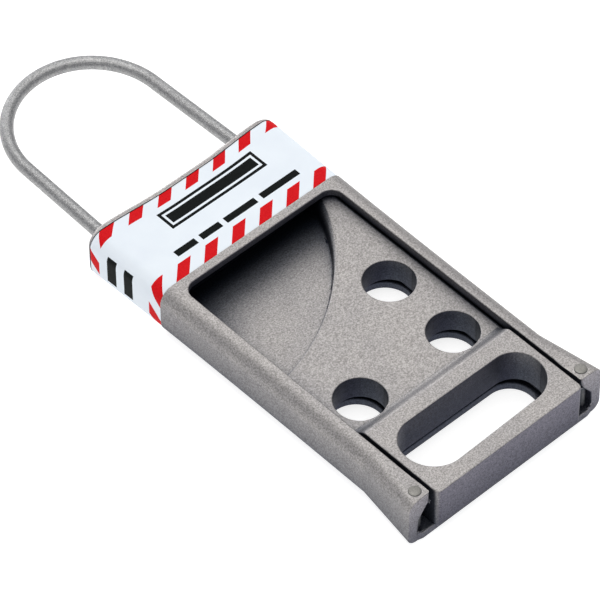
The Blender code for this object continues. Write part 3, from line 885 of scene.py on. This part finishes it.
def make_label():
    """A thin film wrapped round the head. Its map holds millimetres round and along the wrap."""
    stations = label_stations(LABEL_START + LABEL_EDGE_GAP, LABEL_END - LABEL_EDGE_GAP)
    outer = [head_section(along, LABEL_INSET) for along in stations]
    inner = [head_section(along, LABEL_INSET + LABEL_SHEET) for along in reversed(stations)]
    label = loft("hasp_label", outer + inner, closed=True)
    mesh = label.data
    count = len(outer[0])
    flat, whole = wrap_lengths(outer[0])
    layer = mesh.uv_layers.new(name="wrap")
    rows = stations + stations[::-1]
    for face in mesh.polygons:
        columns = [mesh.loops[k].vertex_index % count for k in face.loop_indices]
        seam = 0 in columns and count - 1 in columns
        for k, column in zip(face.loop_indices, columns):
            round_at = flat[count] if seam and column == 0 else flat[column]
            layer.data[k].uv = (round_at, rows[mesh.loops[k].vertex_index // count])
    shade(label)
    return label


# Materials


def new_material(name):
    mat = bpy.data.materials.new(name)
    mat.use_nodes = True
    return mat, mat.node_tree.nodes, mat.node_tree.links


def node(nodes, kind, **inputs):
    """A node with some of its inputs set, by name with underscores for spaces."""
    made = nodes.new(kind)
    for key, value in inputs.items():
        made.inputs[key.replace("_", " ")].default_value = value
    return made


def noise(nodes, links, scale, detail, rough):
    """Noise at so many features to the metre, in the object's own space."""
    coords = nodes.new("ShaderNodeTexCoord")
    made = node(nodes, "ShaderNodeTexNoise", Scale=scale, Detail=detail, Roughness=rough)
    links.new(coords.outputs["Object"], made.inputs["Vector"])
    return made.outputs["Fac"]


def spread(nodes, links, source, band, onto=(0.0, 1.0)):
    """Stretches a band of the source's values onto another, and clips beyond it."""
    made = nodes.new("ShaderNodeMapRange")
    values = (*band, *onto)
    for key, value in zip(("From Min", "From Max", "To Min", "To Max"), values):
        made.inputs[key].default_value = value
    links.new(source, made.inputs["Value"])
    return made.outputs["Result"]


def maths(nodes, links, operation, *values):
    """One step of arithmetic on sockets or numbers."""
    made = nodes.new("ShaderNodeMath")
    made.operation = operation
    for place, value in enumerate(values):
        if isinstance(value, (int, float)):
            made.inputs[place].default_value = value
        else:
            links.new(value, made.inputs[place])
    return made.outputs[0]


def blend_colours(nodes, links, share, first, second):
    """Mixes two colours or colour sockets by a share from 0 to 1."""
    made = nodes.new("ShaderNodeMix")
    made.data_type = "RGBA"
    links.new(share, made.inputs[0])
    for place, value in ((MIX_FIRST, first), (MIX_SECOND, second)):
        if isinstance(value, tuple):
            made.inputs[place].default_value = (*value, 1.0)
        else:
            links.new(value, made.inputs[place])
    return made.outputs[2]


def multiply_colours(nodes, links, first, second):
    made = nodes.new("ShaderNodeMix")
    made.data_type = "RGBA"
    made.blend_type = "MULTIPLY"
    made.inputs[0].default_value = 1.0
    links.new(first, made.inputs[MIX_FIRST])
    links.new(second, made.inputs[MIX_SECOND])
    return made.outputs[2]


def add_bump(nodes, links, shader, height, bump):
    """Bump from a height, by its strength and its depth in millimetres."""
    made = node(nodes, "ShaderNodeBump", Strength=bump[0], Distance=bump[1] * MM)
    links.new(height, made.inputs["Height"])
    links.new(made.outputs["Normal"], shader.inputs["Normal"])


def edge_share(nodes, links):
    """Near 1 along sharp edges and 0 on flat metal."""
    soft = node(nodes, "ShaderNodeBevel", Radius=EDGE_RADIUS * MM)
    soft.samples = EDGE_SAMPLES
    geometry = nodes.new("ShaderNodeNewGeometry")
    dot = nodes.new("ShaderNodeVectorMath")
    dot.operation = "DOT_PRODUCT"
    links.new(soft.outputs["Normal"], dot.inputs[0])
    links.new(geometry.outputs["Normal"], dot.inputs[1])
    return spread(nodes, links, dot.outputs["Value"], EDGE_BAND)


def recess_share(nodes, links):
    """1 on open metal, falling to 0 deep in holes, gaps and corners."""
    hollow = node(nodes, "ShaderNodeAmbientOcclusion", Distance=RECESS_REACH * MM)
    hollow.samples = RECESS_SAMPLES
    return hollow.outputs["AO"]


def facing(nodes, links, normal):
    """The parts of a face's direction along the world's X, Y and Z."""
    geometry = nodes.new("ShaderNodeNewGeometry")
    split = nodes.new("ShaderNodeSeparateXYZ")
    links.new(geometry.outputs[normal], split.inputs[0])
    return split.outputs


def tone_by(nodes, links, colour, share, tint):
    """Multiplies a colour by a tint, in full where the share is 1."""
    return multiply_colours(nodes, links, colour, blend_colours(nodes, links, share, PLAIN, tint))


def recess_painted_shade(nodes, links, colour):
    """Painted shade: darkens a colour towards blue-grey inside holes, gaps and corners and near the ground.
    """
    share = spread(nodes, links, recess_share(nodes, links), RECESS_BAND)
    skin = blend_colours(nodes, links, share, RECESS_TINT, PLAIN)
    return multiply_colours(nodes, links, colour, skin)


def front_painted_shade(nodes, links, colour, tint):
    """Tints the faces that look towards the open end. It is painted shade, not a finish of the metal."""
    share = spread(nodes, links, facing(nodes, links, "Normal")[1], FRONT_BAND)
    return tone_by(nodes, links, colour, share, tint)


def slope_painted_shade(nodes, links, colour):
    """Darkens recessed faces that tilt towards the head. It is painted shade, not a finish of the metal."""
    falls = spread(nodes, links, facing(nodes, links, "True Normal")[1], SLOPE_BAND)
    deep = spread(nodes, links, recess_share(nodes, links), SLOPE_RECESS)
    share = maths(nodes, links, "MULTIPLY", falls, deep)
    return tone_by(nodes, links, colour, share, SLOPE_TINT)


def open_slope_painted_light(nodes, links, colour):
    """Brightens open faces that tilt towards the head. It is painted light, not a finish of the metal."""
    sides = facing(nodes, links, "Normal")
    steep = spread(nodes, links, sides[1], OPEN_SLOPE_BAND)
    upward = spread(nodes, links, sides[2], OPEN_SLOPE_UP)
    clear = spread(nodes, links, recess_share(nodes, links), OPEN_SLOPE_RECESS)
    share = maths(nodes, links, "MULTIPLY", maths(nodes, links, "MULTIPLY", steep, upward), clear)
    return tone_by(nodes, links, colour, share, OPEN_SLOPE_TINT)


def cast_finish(name, front_tint):
    """Cast metal with an even satin grain, paler and smoother along its edges, under painted light and shade.
    """
    mat, nodes, links = new_material(name)
    shader = nodes["Principled BSDF"]
    shader.inputs["Metallic"].default_value = 1.0
    grain = noise(nodes, links, *CAST_GRAIN)
    fine = noise(nodes, links, *CAST_FINE)
    cloud = noise(nodes, links, *CAST_CLOUD)
    pits = noise(nodes, links, *CAST_PITS)
    speck = spread(nodes, links, grain, SPECK_BAND)
    base = blend_colours(nodes, links, speck, CAST_DARK, CAST_LIGHT)
    tone = blend_colours(nodes, links, spread(nodes, links, cloud, CLOUD_BAND), *CAST_CLOUD_TONES)
    tinted = multiply_colours(nodes, links, base, tone)
    patches = spread(nodes, links, pits, PATCH_BAND, PATCH_SHARE)
    ragged = maths(nodes, links, "MULTIPLY", edge_share(nodes, links), patches)
    bright = blend_colours(nodes, links, ragged, tinted, CAST_EDGE)
    # Painted light on open slopes towards the head, then painted shade in recesses, on recessed slopes and on
    # faces towards the open end.
    lifted = open_slope_painted_light(nodes, links, bright)
    recessed = slope_painted_shade(nodes, links, recess_painted_shade(nodes, links, lifted))
    links.new(front_painted_shade(nodes, links, recessed, front_tint), shader.inputs["Base Color"])
    rough = spread(nodes, links, pits, PIT_BAND, CAST_ROUGHNESS)
    rough = maths(nodes, links, "SUBTRACT", rough, maths(nodes, links, "MULTIPLY", ragged, EDGE_SHINE))
    links.new(rough, shader.inputs["Roughness"])
    coarse = maths(nodes, links, "MULTIPLY", grain, GRAIN_SHARE)
    height = maths(nodes, links, "MULTIPLY_ADD", fine, FINE_SHARE, coarse)
    height = maths(nodes, links, "MULTIPLY_ADD", pits, PIT_SHARE, height)
    add_bump(nodes, links, shader, height, CAST_BUMP)
    return mat


def wire_finish(name, tones, roughness, recessed=False):
    """Steel wire: lighter flecks over a mottled satin surface."""
    mat, nodes, links = new_material(name)
    shader = nodes["Principled BSDF"]
    shader.inputs["Metallic"].default_value = 1.0
    fleck = noise(nodes, links, *WIRE_FLECK)
    mottle = noise(nodes, links, *WIRE_MOTTLE)
    colour = blend_colours(nodes, links, spread(nodes, links, fleck, FLECK_BAND), *tones)
    # With the flag set, painted shade darkens the colour in recesses.
    if recessed:
        colour = recess_painted_shade(nodes, links, colour)
    links.new(colour, shader.inputs["Base Color"])
    links.new(spread(nodes, links, mottle, MOTTLE_BAND, roughness), shader.inputs["Roughness"])
    add_bump(nodes, links, shader, maths(nodes, links, "ADD", fleck, mottle), WIRE_BUMP)
    return mat


def inside(nodes, links, value, low, high):
    """1 where the value lies between two numbers."""
    over = maths(nodes, links, "GREATER_THAN", value, low)
    under = maths(nodes, links, "LESS_THAN", value, high)
    return maths(nodes, links, "MULTIPLY", over, under)


def stripes(nodes, links, across, along, centre, middle, band):
    """Slanted marks at a fixed pitch inside one band of the wrap."""
    slant = maths(nodes, links, "SUBTRACT", along, middle)
    level = maths(nodes, links, "SUBTRACT", across, slant)
    from_edge = maths(nodes, links, "SUBTRACT", level, centre - STRIPE_WIDTH / 2)
    share = maths(nodes, links, "FRACT", maths(nodes, links, "DIVIDE", from_edge, STRIPE_PITCH))
    on = maths(nodes, links, "LESS_THAN", share, STRIPE_WIDTH / STRIPE_PITCH)
    return maths(nodes, links, "MULTIPLY", on, inside(nodes, links, along, band[0], band[1]))


def rectangle(nodes, links, across, along, across_span, along_span):
    first = inside(nodes, links, across, across_span[0], across_span[1])
    second = inside(nodes, links, along, along_span[0], along_span[1])
    return maths(nodes, links, "MULTIPLY", first, second)


def label_finish():
    """White film with slanted red marks, a plain black bar and plain rules. It holds no lettering."""
    mat, nodes, links = new_material("printed_film")
    shader = nodes["Principled BSDF"]
    shader.inputs["Specular IOR Level"].default_value = FILM_SPECULAR
    wrap = nodes.new("ShaderNodeUVMap")
    wrap.uv_map = "wrap"
    split = nodes.new("ShaderNodeSeparateXYZ")
    links.new(wrap.outputs["UV"], split.inputs[0])
    across, along = split.outputs[0], split.outputs[1]
    top = stripes(nodes, links, across, along, *TOP_STRIPES)
    low = stripes(nodes, links, across, along, *LOW_STRIPES)
    red = maths(nodes, links, "MAXIMUM", top, low)
    line_outer = rectangle(nodes, links, across, along, *FRAME_OUTER)
    line_inner = rectangle(nodes, links, across, along, *FRAME_INNER)
    line = maths(nodes, links, "SUBTRACT", line_outer, line_inner)
    black = maths(nodes, links, "SUBTRACT", rectangle(nodes, links, across, along, *BAR), line)
    rules = [(span, RULE_ALONG) for span in RULES] + [(SIDE_RULE_ACROSS, span) for span in SIDE_RULES]
    for spans in rules:
        black = maths(nodes, links, "MAXIMUM", black, rectangle(nodes, links, across, along, *spans))
    cloud = spread(nodes, links, noise(nodes, links, *PAPER_CLOUD), PAPER_BAND)
    grain = spread(nodes, links, noise(nodes, links, *INK_GRAIN), INK_BAND)
    paper = blend_colours(nodes, links, cloud, *PAPER_TONES)
    colour = blend_colours(nodes, links, red, paper, blend_colours(nodes, links, grain, *RED_TONES))
    colour = blend_colours(nodes, links, black, colour, blend_colours(nodes, links, grain, *BLACK_TONES))
    links.new(colour, shader.inputs["Base Color"])
    links.new(spread(nodes, links, grain, (0.0, 1.0), FILM_ROUGHNESS), shader.inputs["Roughness"])
    add_bump(nodes, links, shader, noise(nodes, links, *FILM_RIPPLE), FILM_BUMP)
    return mat


def floor_finish():
    """A pale floor that glows, to give a white ground."""
    mat, nodes, links = new_material("pale_floor")
    shader = nodes["Principled BSDF"]
    shader.inputs["Roughness"].default_value = FLOOR_ROUGHNESS
    shader.inputs["Specular IOR Level"].default_value = FLOOR_SPECULAR
    cloud = spread(nodes, links, noise(nodes, links, *FLOOR_CLOUD), FLOOR_BAND)
    links.new(blend_colours(nodes, links, cloud, *FLOOR_TONES), shader.inputs["Base Color"])
    shader.inputs["Emission Color"].default_value = (*PLAIN, 1.0)
    shader.inputs["Emission Strength"].default_value = FLOOR_GLOW
    return mat


def give(item, mat):
    item.data.materials.clear()
    item.data.materials.append(mat)


# Stage, light and camera


def make_floor():
    bm = bmesh.new()
    bmesh.ops.create_grid(bm, x_segments=FLOOR_CELLS, y_segments=FLOOR_CELLS, size=FLOOR_SIDE / 2)
    floor = object_from("floor", bm)
    floor.location = (0.0, 0.0, -FLOOR_DROP * MM)
    give(floor, floor_finish())


def area_light(name, position, size, power, colour):
    """A square soft box that faces the middle of the hasp."""
    light = bpy.data.lights.new(name, "AREA")
    light.shape = "SQUARE"
    light.size = size
    light.energy = power
    light.color = colour
    item = bpy.data.objects.new(name, light)
    bpy.context.scene.collection.objects.link(item)
    item.location = position
    item.rotation_mode = "QUATERNION"
    item.rotation_quaternion = (-Vector(position)).to_track_quat("-Z", "Y")


def make_lights():
    for light in LIGHTS:
        area_light(*light)
    world = bpy.data.worlds.new("studio")
    world.use_nodes = True
    nodes, links = world.node_tree.nodes, world.node_tree.links
    background = nodes["Background"]
    coords = nodes.new("ShaderNodeTexCoord")
    split = nodes.new("ShaderNodeSeparateXYZ")
    links.new(coords.outputs["Generated"], split.inputs[0])
    height = spread(nodes, links, split.outputs[2], SKY_BAND)
    sky = blend_colours(nodes, links, height, HORIZON, ZENITH)
    links.new(sky, background.inputs["Color"])
    background.inputs["Strength"].default_value = 1.0
    bpy.context.scene.world = world
    bpy.context.scene.view_settings.view_transform = "Standard"


def make_camera():
    data = bpy.data.cameras.new("camera")
    data.lens = CAMERA_LENS
    data.sensor_width = SENSOR
    data.clip_start = CLIP_START
    data.clip_end = CLIP_END
    camera = bpy.data.objects.new("camera", data)
    bpy.context.scene.collection.objects.link(camera)
    azimuth = math.radians(CAMERA_AZIMUTH)
    elevation = math.radians(CAMERA_ELEVATION)
    level = math.cos(elevation)
    forward = Vector((math.sin(azimuth) * level, math.cos(azimuth) * level, -math.sin(elevation)))
    right = Vector((math.cos(azimuth), -math.sin(azimuth), 0.0))
    up = right.cross(forward)
    target = Vector((CAMERA_TARGET[0], y_of(CAMERA_TARGET[1]), CAMERA_TARGET[2]))
    place = target - forward * CAMERA_DISTANCE
    aim = target + right * AIM_RIGHT + up * AIM_UP
    camera.location = place * MM
    camera.rotation_mode = "QUATERNION"
    turn = forward.rotation_difference((aim - place).normalized())
    camera.rotation_quaternion = turn @ forward.to_track_quat("-Z", "Y")
    bpy.context.scene.camera = camera


def main():
    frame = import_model()
    # The body's and the slide's finishes differ only in the painted shade on faces towards the open end.
    body_cast = cast_finish("blasted_cast_steel_painted_shading", BODY_FRONT_TINT)
    slide_cast = cast_finish("blasted_slide_steel_painted_shading", SLIDE_FRONT_TINT)
    wire = wire_finish("tumbled_wire_steel", WIRE_TONES, WIRE_ROUGHNESS)
    # The pins' steel has painted shade in recesses.
    pin_steel = wire_finish("peened_pin_steel_painted_shade", PIN_TONES, PIN_ROUGHNESS, recessed=True)
    spring = wire_finish("spring_steel_strip", SPRING_TONES, SPRING_ROUGHNESS)
    film = label_finish()

    pieces = (
        (make_body(), body_cast, "body", "body", "cast_steel"),
        (make_slide(), slide_cast, "slide", "slide", "cast_steel"),
        (make_shackle(), wire, "shackle", "shackle", "wire_steel"),
        (make_stop_pin("stop_pin_left_head", -1), pin_steel, "body", "stop_pin_left", "wire_steel"),
        (make_stop_pin("stop_pin_right_head", 1), pin_steel, "body", "stop_pin_right", "wire_steel"),
        (make_label(), film, "body", "label", "label_film"),
    )
    for item, mat, body, cad_node, slot in pieces:
        give(item, mat)
        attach(item, body)
        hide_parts(cad_node)
    for name in ("shackle_retaining_pin", "latch_spring", "latch_spring_pin"):
        give(frame["nodes"][name], spring)
    make_floor()
    make_lights()
    make_camera()


main()
